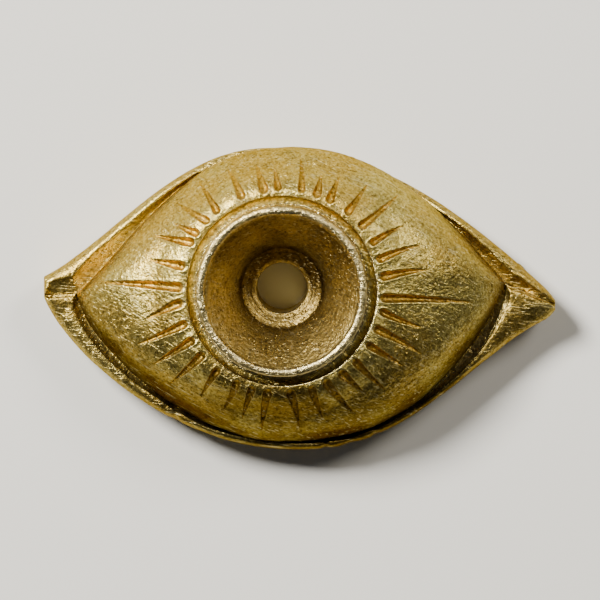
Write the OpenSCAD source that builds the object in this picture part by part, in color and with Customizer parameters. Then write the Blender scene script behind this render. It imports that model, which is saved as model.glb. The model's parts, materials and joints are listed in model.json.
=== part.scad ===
/* [Whole eye] */
// length of the eye from the left tip to the right tip, in mm
eye_length = 54; // [44:0.5:66]
// height of the lid outline from the top edge to the bottom edge
eye_height = 31.5; // [26:0.5:38]
// height of the rim crest above the flat back
eye_depth = 14; // [11.5:0.1:17]

/* [Back plate] */
// thickness of the almond back plate
plate_t = 2.5; // [2:0.05:4]
// how far the edge of the plate sits inside the lid outline
plate_inset = 0.3; // [0.1:0.1:1]

/* [Dome] */
// wall of the hollow eyeball dome
dome_wall = 1.8; // [1.2:0.1:2.6]
// how far the foot of the dome tucks in under its widest line
dome_tuck = 2; // [1.5:0.1:2.6]
// open seam between the dome and the lids
seam = 0.15; // [0.1:0.05:0.3]
// how far the rim crest stands above the top of the dome
rim_stand = 1.2; // [0.6:0.1:2]

/* [Lashes] */
// width of a lash stroke at its round inner end
lash_w = 0.85; // [0.5:0.05:1.2]
// depth of a lash stroke at its round inner end
lash_depth = 0.45; // [0.2:0.05:0.7]
// gap between the cove round the rim and the lashes
lash_gap = 0.9; // [0.5:0.1:2]

/* [Iris cup] */
// radius of the mouth of the bowl
mouth_r = 8; // [6:0.1:10]
// width of the raised rim round the mouth
rim_w = 0.9; // [0.6:0.05:1.4]
// depth of the bowl from the rim crest to the shoulder
bowl_depth = 5.8; // [4:0.1:7.5]
// radius of the shoulder at the bottom of the bowl
shoulder_r = 4.3; // [3.5:0.1:5.5]
// radius of the bore through the whole ornament
bore_r = 2.6; // [1.8:0.05:3.4]
// wall of the tube that carries the bore
shank_wall = 1.4; // [1:0.1:2]
// clearance all round where the cup passes the dome and the plate
cup_fit = 0.1; // [0.05:0.05:0.3]
// width of the cove groove cut round the rim
cove_w = 1; // [0.6:0.1:1.6]

/* [Lids] */
// height of the lid crests above the flat back
lid_crest = 5.2; // [4.5:0.1:7]
// depth of the channel between a lid crest and the dome
channel_depth = 1.4; // [0.8:0.1:2]
// radius of the rivet pegs under the lids
peg_r = 0.7; // [0.4:0.05:0.9]

/* [Ring nut] */
// thickness of the ring nut behind the plate
nut_t = 1.4; // [1:0.1:1.8]
// width of the ring nut round the shank
nut_w = 2.5; // [1.8:0.1:3.5]

/* [Hidden] */
$fn = 72;
// stretch of the drawn outline
sx = eye_length/54;
sy = eye_height/31.5;
// top of the dome, its widest line and the flat round the rim
dome_top_z = eye_depth - rim_stand;
wide_z = plate_t + 0.22*(eye_depth - plate_t);
flat_z = dome_top_z - 0.3;
// iris cup
rim_r = mouth_r + rim_w;
cup_r = mouth_r + 0.3;
cove_r = rim_r + cove_w;
cove_depth = 0.6*cove_w;
seat_z = flat_z - cove_depth;
shank_r = bore_r + shank_wall;
shoulder_z = eye_depth - bowl_depth;
recess_r = shank_r + nut_w + 0.3;
// corners of the dome and tips of the lids, x then y
dome_l = [-21.5*sx, -0.7*sy];
dome_r = [23.4*sx, 0.3*sy];
tip_l = [-25.1*sx, -0.9*sy];
tip_r = [28.9*sx, -1.9*sy];
// half heights of dome and lids above and below the corner line
dome_up = 14.9*sy;
dome_down = 16*sy;
lid_up = 15.65*sy;
lid_down = 15.95*sy;
tip_run = 1.3*sx;
low_z = plate_t + 0.9;
lid_steps = 56;

// angle round the bore, length, and lean away from the radius of each lash
lashes = [
    [8, 4.5, 0], [18, 4.5, 0], [28, 3.5, 0], [39, 5, 0], [50, 3.5, 3], [62, 2.5, 5],
    [70, 2, 7], [79, 3, 13], [92, 2, 10], [100, 2.5, 9], [113, 3, 7], [129, 3.5, -4],
    [137, 3.5, 15], [146, 2.5, 12], [152, 4, 20], [166, 3.5, 5], [178, 8.5, 0], [187, 4, 20],
    [199, 5.5, 5], [209, 5, 4], [219, 5, 4], [231, 3.5, 8], [244, 3.5, 0], [253, 3.5, 0],
    [262, 4.5, 0], [275, 4, 8], [287, 3.5, 3], [296, 4.5, 15], [306, 3, 12], [316, 4.5, 0],
    [328, 4.5, 0], [338, 5.5, -8], [348, 4.5, -10], [356, 9.5, 0]];

// pegs under each lid, x then y
upper_pegs = [[-22.7*sx, 0.75*sy], [24.5*sx, 1.15*sy]];
lower_pegs = [[-22*sx, -3.4*sy], [24.3*sx, -2.8*sy]];

// height of a powered cosine arch at x, zero at the corners xl and xr
function arch(x, xl, xr, w, al, bl, ar, br) =
    let (t = min(1, x < 0 ? x/xl : x/xr))
    w*pow(max(0, cos(90*pow(t, x < 0 ? al : ar))), x < 0 ? bl : br);

// corner line between the upper and the lower half, a straight run in each part
function mix(a, b, t) = a + (b - a)*t;
function mid_y(x) =
    x < dome_l[0] ? mix(dome_l[1], tip_l[1], (x - dome_l[0])/(tip_l[0] - dome_l[0])) :
    x > dome_r[0] ? mix(dome_r[1], tip_r[1], (x - dome_r[0])/(tip_r[0] - dome_r[0])) :
    mix(dome_l[1], dome_r[1], (x - dome_l[0])/(dome_r[0] - dome_l[0]));
function lid_mid(x) = -1.2*sy - 0.046*x*sy/sx;

// dome outline set in by d, above and below the corner line
function dome_hi(x, d) =
    arch(x, dome_l[0] + d, dome_r[0] - d, dome_up - d, 1.1, 1.1, 1.15, 0.95);
function dome_lo(x, d) =
    arch(x, dome_l[0] + d, dome_r[0] - d, dome_down - d, 0.9, 0.65, 1.4, 0.8);
// share of the height kept where the right tip rounds off, and the lid outline set in by d
function tip_round(x, d) =
    let (t = max(0, x - tip_r[0] + d + tip_run)/tip_run)
    sqrt(max(0.03, 1 - t*t));
function lid_hi(x, d) = mix(
    mid_y(x),
    lid_mid(x) + arch(x, -28*sx + d, 30.1*sx - d, lid_up - d, 1.12, 1.63, 1.055, 0.965),
    tip_round(x, d));
function lid_lo(x, d) = mix(
    mid_y(x),
    lid_mid(x) - arch(x, -25.25*sx + d, 31*sx - d, lid_down - d, 0.99, 0.65, 1.23, 1.72),
    tip_round(x, d));

// set-in of the dome skirt at height z, zero at its widest line
function skirt(z) = dome_tuck*max(0, wide_z - z)/(wide_z - plate_t);
function ease(t) = let (s = min(1, max(0, t))) s*s*(3 - 2*s);

// height of the dome skin over a point, with the flat round the rim blended in
function across(x, y) =
    let (dy = y - mid_y(x), h = dy > 0 ? dome_hi(x, 0) : dome_lo(x, 0))
    h < 0.01 ? 1 : min(1, abs(dy)/h);
function crown(x, top) =
    let (t = min(1, x < 0 ? x/dome_l[0] : x/dome_r[0]))
    (top - wide_z)*pow(1 - pow(t, 2.6), 0.7);
function skin_z(x, y) =
    let (v = across(x, y),
        base = wide_z + crown(x, dome_top_z)*pow(1 - pow(v, 3.2), 0.714),
        near = 1 - ease((norm([x, y]) - cove_r - 0.1)/3.6),
        keep = 1 - pow(max(0, v - 0.8)/0.2, 2))
    base + (flat_z - base)*near*keep;

// distance from the bore axis to the dome outline set in by d, at angle a, by halving
function inside(x, y, d) =
    let (dy = y - mid_y(x))
    x > dome_l[0] + d && x < dome_r[0] - d && abs(dy) < (dy > 0 ? dome_hi(x, d) : dome_lo(x, d));
function reach_at(a, d, low, high, left) =
    left == 0 ? low :
    let (r = (low + high)/2)
    inside(r*cos(a), r*sin(a), d) ? reach_at(a, d, r, high, left - 1) :
    reach_at(a, d, low, r, left - 1);

// closed solid through rings of equal count, bottom ring first
module skin(rings) {
    n = len(rings[0]);
    m = len(rings);
    points = [for (ring = rings) for (p = ring) p];
    sides = [for (j = [0:m - 2]) for (i = [0:n - 1])
        for (k = [0, 1])
            k == 0 ? [j*n + i, (j + 1)*n + i, (j + 1)*n + (i + 1)%n] :
            [j*n + i, (j + 1)*n + (i + 1)%n, j*n + (i + 1)%n]];
    floor_face = [[for (i = [0:n - 1]) i]];
    roof_face = [[for (i = [n - 1:-1:0]) (m - 1)*n + i]];
    polyhedron(points = points, faces = concat(floor_face, sides, roof_face), convexity = 8);
}

// length of a lash, kept short of the dome outline
function lash_length(l) =
    let (
        r0 = cove_r + lash_gap,
        x = r0*cos(l[0]) + l[1]*cos(l[0] + l[2]),
        y = r0*sin(l[0]) + l[1]*sin(l[0] + l[2]))
    min(l[1], 0.965*reach_at(atan2(y, x), 0, 5*sy, 27*sx, 22) - r0);
lash_lengths = [for (l = lashes) lash_length(l)];
// point of lash j at share f of its length, moved sideways by w
function lash_at(j, f, w) =
    let (
        r0 = cove_r + lash_gap,
        a = lashes[j][0],
        b = a + lashes[j][2],
        run = f*lash_lengths[j])
    [r0*cos(a) + run*cos(b) - w*sin(b), r0*sin(a) + run*sin(b) + w*cos(b)];
// half width and depth of a lash at share f of its length
function lash_half(f) = 0.5*lash_w*(f < 0.15 ? 0.55 + 3*f : mix(1, 0.16, (f - 0.15)/0.85));
function lash_cut(f) = lash_depth*(f < 0.1 ? 10*f : 1 - pow((f - 0.1)/0.9, 1.6));

// columns of the dome: three along each lash and two between it and the next
function column(i, f) =
    let (j = floor(i/5), k = i - 5*j, m = (j + 1)%len(lashes))
    k < 3 ? lash_at(j, f, (k - 1)*lash_half(f)) :
    mix(lash_at(j, f, lash_half(f)), lash_at(m, f, -lash_half(f)), (k - 2)/3);
columns = 5*len(lashes);
ends = [for (i = [0:columns - 1]) let (p = column(i, 1)) [norm(p), (atan2(p[1], p[0]) + 360)%360]];
// angle at which each column meets the outline, one on each corner
corner_r = atan2(dome_r[1], dome_r[0]) + 360;
corner_l = atan2(dome_l[1], dome_l[0]) + 360;
edge_a = [for (i = [0:columns - 1]) i == columns - 2 ? corner_r : i == 83 ? corner_l : ends[i][1]];
edge_r = [for (i = [0:columns - 1]) reach_at(edge_a[i], 0, 5*sy, 27*sx, 22)];

// ring of the dome between the lash ends and the outline
function outer_ring(t) =
    [for (i = [0:columns - 1])
        let (a = mix(ends[i][1], edge_a[i], t), r = mix(ends[i][0], edge_r[i], t))
        [r*cos(a), r*sin(a), t == 1 ? wide_z : skin_z(r*cos(a), r*sin(a))]];
// ring of the outline set in by d, at height z
function inset_ring(d, z) =
    [for (a = edge_a) let (r = reach_at(a, d, 3*sy, 27*sx, 22)) [r*cos(a), r*sin(a), z]];
// round ring at height z, and a ring through the lashes at share f of their length
function round_ring(r, z) =
    [for (i = [0:columns - 1])
        let (p = column(i, 0), a = atan2(p[1], p[0])) [r*cos(a), r*sin(a), z]];
function lash_ring(f) =
    [for (i = [0:columns - 1])
        let (p = column(i, f))
        [p[0], p[1], skin_z(p[0], p[1]) - (i%5 == 1 ? lash_cut(f) : 0)]];
// ring inside the hollow, from its wall towards its flat roof
function hollow_ring(t) =
    let (roof_r = cup_r + 1.4, roof = flat_z - dome_wall, wall_z = wide_z - 0.6)
    [for (a = edge_a)
        let (r1 = max(roof_r + 0.6, reach_at(a, dome_tuck + dome_wall, 3*sy, 27*sx, 22)),
            r = mix(r1, roof_r, t))
        [r*cos(a), r*sin(a), mix(wall_z, roof, pow(1 - pow(1 - t, 2.6), 0.75))]];

module eye_dome() {
    foot = [for (p = hollow_ring(0)) [p[0], p[1], plate_t]];
    hollow = [for (t = [1, 0.6, 0.25, 0]) hollow_ring(t)];
    skirt_rings = [for (z = [plate_t, mix(plate_t, wide_z, 0.5)]) inset_ring(skirt(z), z)];
    over = [for (t = [1, 0.93, 0.75, 0.4]) outer_ring(t)];
    strokes = [for (f = [1, 0.75, 0.4, 0.1, 0]) lash_ring(f)];
    cove = [for (a = [0, 30, 60, 90])
        round_ring(cove_r - 0.6*cove_w*(1 - cos(a)), flat_z - cove_depth*sin(a))];
    seat = [round_ring(rim_r + cup_fit, seat_z)];
    color("#b9a878")
        difference() {
            skin(concat(hollow, [foot], skirt_rings, over, strokes, cove, seat));
            translate([0, 0, plate_t])
                cylinder(h = eye_depth, r = cup_r + cup_fit);
        }
}

// stations along the eye, closer together at the corners of the dome
function stations() =
    let (l = tip_l[0] + 0.1, a = dome_l[0] - seam, b = dome_r[0] + seam, r = tip_r[0] - 0.2)
    concat(
        [for (i = [0:6]) mix(l, a, i/7)],
        [for (i = [0:lid_steps]) mix(a, b, (1 - cos(180*i/lid_steps))/2)],
        [for (i = [1:10]) mix(b, r, sin(9*i))]);

// section of a lid at x: side is +1 for the upper lid and -1 for the lower one
function lid_section(x, side) =
    let (
        mid = mid_y(x)*side,
        out = (side > 0 ? lid_hi(x, 0) : lid_lo(x, 0))*side,
        reach = out - mid - (side > 0 ? dome_hi(x, 0) : dome_lo(x, 0)),
        crest_z = mix(low_z, lid_crest, ease(reach/1.6)),
        floor_z = max(plate_t + 0.35, crest_z - channel_depth),
        in0 = lid_inner(x, side, plate_t),
        in1 = lid_inner(x, side, floor_z),
        in2 = lid_inner(x, side, crest_z) + 0.12,
        want = side > 0 ? mix(in1, out, 0.55) : mid + crest_line(x),
        crest_y = min(out - 0.15, max(in2, want)),
        edge_z = mix(plate_t, crest_z, 0.5),
        pts = concat(
            [[in0, plate_t], [out, plate_t], [out, edge_z]],
            [for (t = [0.35, 0.7]) [mix(out, crest_y, 0.75*t), mix(edge_z, crest_z, sin(90*t))]],
            [[mix(out, crest_y, 0.8), crest_z], [crest_y, crest_z]],
            [for (a = [65, 40, 18])
                [mix(in1 + 0.04, crest_y, sin(a)), mix(floor_z, crest_z, 1 - cos(a))]],
            [[in1, floor_z]]))
    side > 0 ? [for (p = pts) [x, p[0], p[1]]] :
        [for (i = [len(pts) - 1:-1:0]) [x, -pts[i][0], pts[i][1]]];

// distance of the lid inner wall beyond the x axis at height z, clear of the dome skirt
function lid_inner(x, side, z) =
    let (d = skirt(z) - seam)
    mid_y(x)*side + max(seam/2, side > 0 ? dome_hi(x, d) : dome_lo(x, d));
// crest of the lower lid measured from the corner line
function crest_line(x) =
    arch(x, dome_l[0] - 0.5, dome_r[0] + 0.75, dome_down + 0.5, 0.9, 0.65, 1.4, 0.8);

// rivet peg with its flared head flush in the back face
module peg(p, extra) {
    translate([p[0], p[1], 0]) {
        cylinder(h = plate_t + extra, r = peg_r, $fn = 32);
        cylinder(h = peg_r*0.6, r1 = peg_r*1.6, r2 = peg_r, $fn = 32);
    }
}

module upper_lid() {
    color("#c2b285") {
        skin([for (x = stations()) lid_section(x, 1)]);
        for (p = upper_pegs)
            peg(p, 0.25);
    }
}

module lower_lid() {
    color("#c2b285") {
        skin([for (x = stations()) lid_section(x, -1)]);
        for (p = lower_pegs)
            peg(p, 0.25);
    }
}

module back_plate() {
    l = tip_l[0] + plate_inset + 0.1;
    r = tip_r[0] - plate_inset - 0.2;
    xs = [for (i = [0:40]) mix(l, r, (1 - cos(180*i/40))/2)];
    color("#a8905a")
        difference() {
            linear_extrude(height = plate_t)
                polygon(concat(
                    [for (x = xs) [x, lid_lo(x, plate_inset)]],
                    [for (i = [40:-1:0]) [xs[i], lid_hi(xs[i], plate_inset)]]));
            translate([0, 0, -1])
                cylinder(h = plate_t + 2, r = shank_r + cup_fit);
            translate([0, 0, -1])
                cylinder(h = nut_t + 1, r = recess_r);
            for (p = concat(upper_pegs, lower_pegs))
                peg(p, 0.25);
        }
}

// bowl, rim and tube turned in one piece, half section from the axis outwards
module iris_cup() {
    wall = 1.1;
    z0 = eye_depth;
    color("#c79a4a")
        rotate_extrude()
            polygon(concat(
                [[bore_r, 0], [shank_r, 0], [shank_r, shoulder_z - 2.2]],
                [[shoulder_r + wall, shoulder_z - 0.6], [cup_r, z0 - 3.2], [cup_r, seat_z]],
                [[rim_r, seat_z], [rim_r, z0 - 0.3], [rim_r - 0.12, z0 - 0.08]],
                [[mouth_r + 0.45*rim_w, z0], [mouth_r + 0.1, z0 - 0.1], [mouth_r, z0 - 0.35]],
                [for (t = [0.15:0.15:0.9])
                    [mix(mouth_r, shoulder_r, sin(90*t)*0.35 + t*0.65),
                        mix(z0 - 0.35, shoulder_z, t*0.8 + t*t*0.2)]],
                [[shoulder_r, shoulder_z], [shoulder_r - 0.25, shoulder_z - 0.45]],
                [[bore_r + 0.35, shoulder_z - 1.1], [bore_r, shoulder_z - 1.6]]));
}

// round nut with two spanner holes
module ring_nut() {
    color("#8f7440")
        difference() {
            cylinder(h = nut_t, r = shank_r + nut_w);
            translate([0, 0, -1])
                cylinder(h = nut_t + 2, r = shank_r);
            for (a = [0, 180])
                rotate([0, 0, a])
                    translate([shank_r + 0.5*nut_w, 0, -1])
                        cylinder(h = nut_t + 2, r = 0.28*nut_w, $fn = 32);
        }
}

back_plate();
eye_dome();
upper_lid();
lower_lid();
iris_cup();
ring_nut();
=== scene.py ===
import json
import math
import bpy
import numpy as np
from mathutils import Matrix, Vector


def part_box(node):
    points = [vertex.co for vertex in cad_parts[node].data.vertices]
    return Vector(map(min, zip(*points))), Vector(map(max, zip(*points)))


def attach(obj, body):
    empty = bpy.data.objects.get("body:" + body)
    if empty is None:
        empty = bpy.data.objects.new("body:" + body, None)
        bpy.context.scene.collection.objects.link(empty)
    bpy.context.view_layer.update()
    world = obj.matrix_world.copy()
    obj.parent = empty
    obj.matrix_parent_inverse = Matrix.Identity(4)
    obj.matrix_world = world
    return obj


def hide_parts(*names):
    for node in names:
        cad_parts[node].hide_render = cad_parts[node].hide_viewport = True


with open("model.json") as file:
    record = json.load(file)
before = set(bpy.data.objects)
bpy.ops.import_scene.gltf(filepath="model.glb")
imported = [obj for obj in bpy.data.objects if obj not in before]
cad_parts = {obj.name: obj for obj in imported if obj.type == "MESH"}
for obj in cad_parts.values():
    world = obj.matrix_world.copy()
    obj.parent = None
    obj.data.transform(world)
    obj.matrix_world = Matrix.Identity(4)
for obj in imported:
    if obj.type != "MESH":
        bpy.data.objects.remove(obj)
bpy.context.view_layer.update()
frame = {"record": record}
mm = 0.001  # shapes are worked out in millimetres and stored in metres
pi = math.pi


# the value a share t of the way from a to b
def mix(a, b, t):
    return a + (b - a) * t


# the sizes that other shapes hang on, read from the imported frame
lidLow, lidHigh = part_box("upper_lid")
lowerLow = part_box("lower_lid")[0]
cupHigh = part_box("iris_cup")[1]
bore = [m for m in frame["record"]["mounts"] if m["kind"] == "bore"][0]["dims"]
drawnLength, drawnHeight = 53.7, 31.66  # of the lids, at which the outlines below are written
eye = {
    "stretchX": (lidHigh.x - lidLow.x) / (drawnLength * mm),
    "stretchY": (lidHigh.y - lowerLow.y) / (drawnHeight * mm),
    "depth": cupHigh.z / mm,
    "plate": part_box("back_plate")[1].z / mm,
    "lidCrest": lidHigh.z / mm,
    "rimRadius": cupHigh.x / mm,
    "boreRadius": bore["r_mm"],
    "nutRadius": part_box("ring_nut")[1].x / mm,
    "nutHeight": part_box("ring_nut")[1].z / mm,
}
sx, sy = eye["stretchX"], eye["stretchY"]
casting = {
    "rimStand": 1.2,  # of the cup's rim over the crown of the dome
    "crownDrop": 0.3,  # from the crown to the flat round the cove
    "coveWidth": 1.0,
    "coveShare": 0.6,  # depth of the cove against its width
    "wideShare": 0.22,  # height of the dome's widest line between plate and rim
    "tuck": 2.0,  # of the dome's foot under its widest line
    "wall": 1.8,  # of the dome
    "tube": 1.4,  # wall of the cup's tube
    "seat": 0.6,  # width of the dome's ledge under the rim
    "fit": 0.1,  # play between pieces
}
domeTop = eye["depth"] - casting["rimStand"]
wideHeight = mix(eye["plate"], eye["depth"], casting["wideShare"])
flatHeight = domeTop - casting["crownDrop"]
coveRadius = eye["rimRadius"] + casting["coveWidth"]
coveDepth = casting["coveShare"] * casting["coveWidth"]
seatHeight = flatHeight - coveDepth
tubeRadius = eye["boreRadius"] + casting["tube"]
domeLeft, domeRight = (-21.5 * sx, -0.7 * sy), (23.4 * sx, 0.3 * sy)
tipLeft, tipRight = (-25.1 * sx, -0.9 * sy), (28.9 * sx, -1.9 * sy)
print("sizes from the frame:", {k: round(v, 3) for k, v in eye.items()})


# smooth step from 0 to 1, 3 t^2 - 2 t^3
def ease(t):
    s = np.clip(t, 0, 1)
    return s * s * (3 - 2 * s)


# height of each arch, its ends where they aren't the dome's corners, and its powers a and b to the left
# and to the right of the bore
arches = {
    "domeUp": {"high": 14.9, "powers": (1.1, 1.1, 1.15, 0.95)},
    "domeDown": {"high": 16, "powers": (0.9, 0.65, 1.4, 0.8)},
    "lidTop": {"high": 15.65, "ends": (-28, 30.1), "powers": (1.12, 1.63, 1.055, 0.965)},
    "lidBottom": {"high": 15.95, "ends": (-25.25, 31), "powers": (0.99, 0.65, 1.23, 1.72)},
    "lidMiddle": (-1.2, -0.046),  # line that the lids' arches stand on: height at the bore and slope
    "tipRun": 1.3,  # length over which the right tip rounds off
}


# powered cosine arch set in by d, high cos(90 t^a)^b, with t from 0 at the bore to 1 at each end
def arch(x, which, left, right, d):
    own = arches[which]
    aLeft, bLeft, aRight, bRight = own["powers"]
    t = np.minimum(1, np.where(x < 0, x / (left + d), x / (right - d)))
    a, b = np.where(x < 0, aLeft, aRight), np.where(x < 0, bLeft, bRight)
    return (own["high"] * sy - d) * np.maximum(0, np.cos(pi / 2 * t**a)) ** b


# line between the two halves: straight from tip to corner, corner to corner, corner to tip
def midLine(x):
    return np.interp(x, [tipLeft[0], domeLeft[0], domeRight[0], tipRight[0]],
                     [tipLeft[1], domeLeft[1], domeRight[1], tipRight[1]])


# half heights of the dome above and below that line, set in by d
def domeUp(x, d=0.0):
    return arch(x, "domeUp", domeLeft[0], domeRight[0], d)


def domeDown(x, d=0.0):
    return arch(x, "domeDown", domeLeft[0], domeRight[0], d)


# upper and lower edge of the lids, set in by d: an arch on the lids' middle line, drawn together to the
# line between the halves where the right tip rounds off as an ellipse
def lidEdge(x, which, way, d):
    high, slope = arches["lidMiddle"]
    left, right = arches[which]["ends"]
    edge = high * sy + slope * x * sy / sx + way * arch(x, which, left * sx, right * sx, d)
    run = arches["tipRun"] * sx
    t = np.maximum(0, x - tipRight[0] + d + run) / run
    return mix(midLine(x), edge, np.sqrt(np.maximum(0.03, 1 - t * t)))


def lidTop(x, d=0.0):
    return lidEdge(x, "lidTop", 1, d)


def lidBottom(x, d=0.0):
    return lidEdge(x, "lidBottom", -1, d)


# set-in of the dome's skirt at height z
def skirt(z):
    return casting["tuck"] * np.maximum(0, wideHeight - z) / (wideHeight - eye["plate"])


# height of the dome's skin: (1 - t^2.6)^0.7 along the eye times (1 - v^3.2)^0.714 across it, t = 1 at
# the corners and v = 1 at the outline, with a flat blended in round the rim
def skinHeight(x, y):
    dy = y - midLine(x)
    half = np.where(dy > 0, domeUp(x), domeDown(x))
    v = np.where(half < 0.01, 1, np.minimum(1, np.abs(dy) / np.maximum(half, 0.01)))
    t = np.minimum(1, np.where(x < 0, x / domeLeft[0], x / domeRight[0]))
    base = wideHeight + (domeTop - wideHeight) * (1 - t**2.6) ** 0.7 * (1 - v**3.2) ** 0.714
    near = 1 - ease((np.hypot(x, y) - coveRadius - 0.1) / 3.6)
    keep = 1 - (np.maximum(0, v - 0.8) / 0.2) ** 2
    return base + (flatHeight - base) * near * keep


# distance from the bore axis to the dome outline set in by d, at angle a, by halving
def reach(a, d=0.0):
    low, high = np.full_like(a, 5 * sy), np.full_like(a, 27 * sx)
    for _ in range(30):
        r = (low + high) / 2
        x, y = r * np.cos(a), r * np.sin(a)
        dy = y - midLine(x)
        half = np.where(dy > 0, domeUp(x, d), domeDown(x, d))
        inside = (x > domeLeft[0] + d) & (x < domeRight[0] - d) & (np.abs(dy) < half)
        low, high = np.where(inside, r, low), np.where(inside, high, r)
    return low


# smooth unevenness of about unit size: a sum of sine waves in random directions
def uneven(p, size, seed, waves=26):
    rng = np.random.default_rng(seed)
    way = rng.normal(size=(waves, 3))
    way *= (2 * pi / size * rng.uniform(0.6, 1.6, waves) / np.linalg.norm(way, axis=1))[:, None]
    return np.sin(p @ way.T + rng.uniform(0, 2 * pi, waves)).sum(-1) / math.sqrt(waves)


# neighbours along one direction of a grid, going round where it wraps
def shifted(p, step, axis, wrap):
    if wrap:
        return np.roll(p, step, axis)
    edge = np.take(p, [0 if step > 0 else -1], axis)
    kept = np.take(p, range(0, p.shape[axis] - 1) if step > 0 else range(1, p.shape[axis]), axis)
    return np.concatenate([edge, kept] if step > 0 else [kept, edge], axis)


# unit normals of a grid, from the cross product of its two directions, turned outwards
def gridNormals(p, wrap, outwards):
    along = shifted(p, -1, 1, True) - shifted(p, 1, 1, True)
    across = shifted(p, -1, 0, wrap) - shifted(p, 1, 0, wrap)
    n = np.cross(along, across) * outwards
    return n / np.maximum(np.linalg.norm(n, axis=2, keepdims=True), 1e-9)


# volume enclosed by the quads of a grid, positive if they face outwards
def gridVolume(p, wrap):
    q = p if wrap else p[:-1]
    a, b = q, shifted(q, -1, 1, True)
    c = (shifted(p, -1, 0, True) if wrap else p[1:])
    d = shifted(c, -1, 1, True)
    return float((np.cross(a, b) * d).sum() + (np.cross(a, d) * c).sum()) / 6


# hollow and edge values, 0 to 1: how far the average of a point's neighbours lies outside or inside it
# the hollow value feeds the gilt and the painted crevice shade, the edge value the rub
def wearAndShade(p, wrap, reaches):
    n = gridNormals(p, wrap, 1.0 if gridVolume(p, wrap) > 0 else -1.0)
    q, done, total = p, 0, 0
    for passes, size in reaches:
        for _ in range(passes - done):
            q = (shifted(q, 1, 0, wrap) + shifted(q, -1, 0, wrap)
                 + shifted(q, 1, 1, True) + shifted(q, -1, 1, True) + 2 * q) / 6
        done = passes
        total = total + ((q - p) * n).sum(2) / size
    return {"hollow": np.clip(total, 0, 1), "edge": np.clip(-total, 0, 1)}


# grid of points in mm (rows, columns, 3), its columns going round, made into a closed mesh that faces
# outwards; several shells of one piece come stacked in front
def makeSurface(name, p, wrap=True, values=None, nodes=()):
    shells = p if p.ndim == 4 else p[None]
    count, rows, columns = shells.shape[:3]
    r, c = np.meshgrid(np.arange(rows if wrap else rows - 1), np.arange(columns), indexing="ij")
    r1, c1 = (r + 1) % rows, (c + 1) % columns
    quads = np.stack([r * columns + c, r * columns + c1, r1 * columns + c1, r1 * columns + c], -1)
    quads = quads.reshape(-1, 4)
    caps = np.zeros((0, columns), int) if wrap else np.stack([
        np.arange(columns)[::-1], np.arange(columns) + (rows - 1) * columns])
    volume = gridVolume(shells[0], wrap)
    if volume < 0:
        quads, caps = quads[:, ::-1], caps[:, ::-1]
    start = np.arange(count)[:, None, None] * rows * columns
    quads, caps = (quads + start).reshape(-1, 4), (caps + start).reshape(-1, columns)
    mesh = bpy.data.meshes.new(name)
    mesh.from_pydata((shells.reshape(-1, 3) * mm).tolist(), [], quads.tolist() + caps.tolist())
    mesh.polygons.foreach_set("use_smooth", np.arange(len(mesh.polygons)) < len(quads))
    for key, value in (values or {}).items():
        layer = mesh.attributes.new(key, "FLOAT", "POINT")
        layer.data.foreach_set("value", value.astype(np.float32).reshape(-1))
    mesh.update()
    piece = bpy.data.objects.new(name, mesh)
    bpy.context.scene.collection.objects.link(piece)
    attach(piece, "root")
    if nodes:
        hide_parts(*nodes)
    print("made", name, "with", 2 * len(quads), "triangles,", round(abs(volume), 1), "mm3 in its shell")
    return piece


# a closed half section (r, z) turned about the bore axis
def turned(r, z, columns):
    a = np.linspace(0, 2 * pi, columns, endpoint=False)
    heights = np.broadcast_to(z[:, None], (len(z), columns))
    return np.stack([r[:, None] * np.cos(a), r[:, None] * np.sin(a), heights], -1)


# corners of a section filled in with points at most step apart
def fillIn(corners, step):
    xy = [np.array(corners[0], float)[None]]
    for a, b in zip(corners[:-1], corners[1:]):
        a, b = np.array(a, float), np.array(b, float)
        n = max(1, int(math.ceil(np.linalg.norm(b - a) / step)))
        xy.append(a + (b - a) * np.linspace(0, 1, n + 1)[1:, None])
    return np.concatenate(xy)


# painted shade, 0 to 1, darkening the lower side of the eye and a little its right end
def lowSideShade(p):
    low = ease((-p[..., 1] / sy - 6) / 7) * mix(0.45, 1, ease((p[..., 0] / sx + 13) / 9))
    return np.clip(0.85 * low + 0.25 * ease((p[..., 0] / sx - 12) / 8), 0, 0.9)


# angle round the bore, length and lean of each lash stroke, in degrees, mm and degrees
lashes = [
    (8, 4.5, 0), (18, 4.5, 0), (28, 3.5, 0), (39, 5, 0), (50, 3.5, 3), (62, 2.5, 5),
    (70, 2, 7), (79, 3, 13), (92, 2, 10), (100, 2.5, 9), (113, 3, 7), (129, 3.5, -4),
    (137, 3.5, 15), (146, 2.5, 12), (152, 4, 20), (166, 3.5, 5), (178, 8.5, 0), (187, 4, 20),
    (199, 5.5, 5), (209, 5, 4), (219, 5, 4), (231, 3.5, 8), (244, 3.5, 0), (253, 3.5, 0),
    (262, 4.5, 0), (275, 4, 8), (287, 3.5, 3), (296, 4.5, 15), (306, 3, 12), (316, 4.5, 0),
    (328, 4.5, 0), (338, 5.5, -8), (348, 4.5, -10), (356, 9.5, 0)]
dome = {
    "columns": 900,
    "skinRows": 84,
    "lashWidth": 0.95,  # at the round inner end
    "lashDepth": 0.52,
    "lashGap": 0.9,  # from the cove to the lashes
    "burr": 0.035,  # height of the lip thrown up beside a stroke
    "taper": 0.86,  # of a stroke's width from its round end to its point
    "footRound": 0.12,
    "wallRoom": 1.9,  # least from the hole to the hollow's wall
    "roofRoom": 1.3,  # from the hole to the end of the hollow's roof
    "dents": 0.045,  # broad unevenness of the casting
    "grain": 0.012,  # fine unevenness
}


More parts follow.
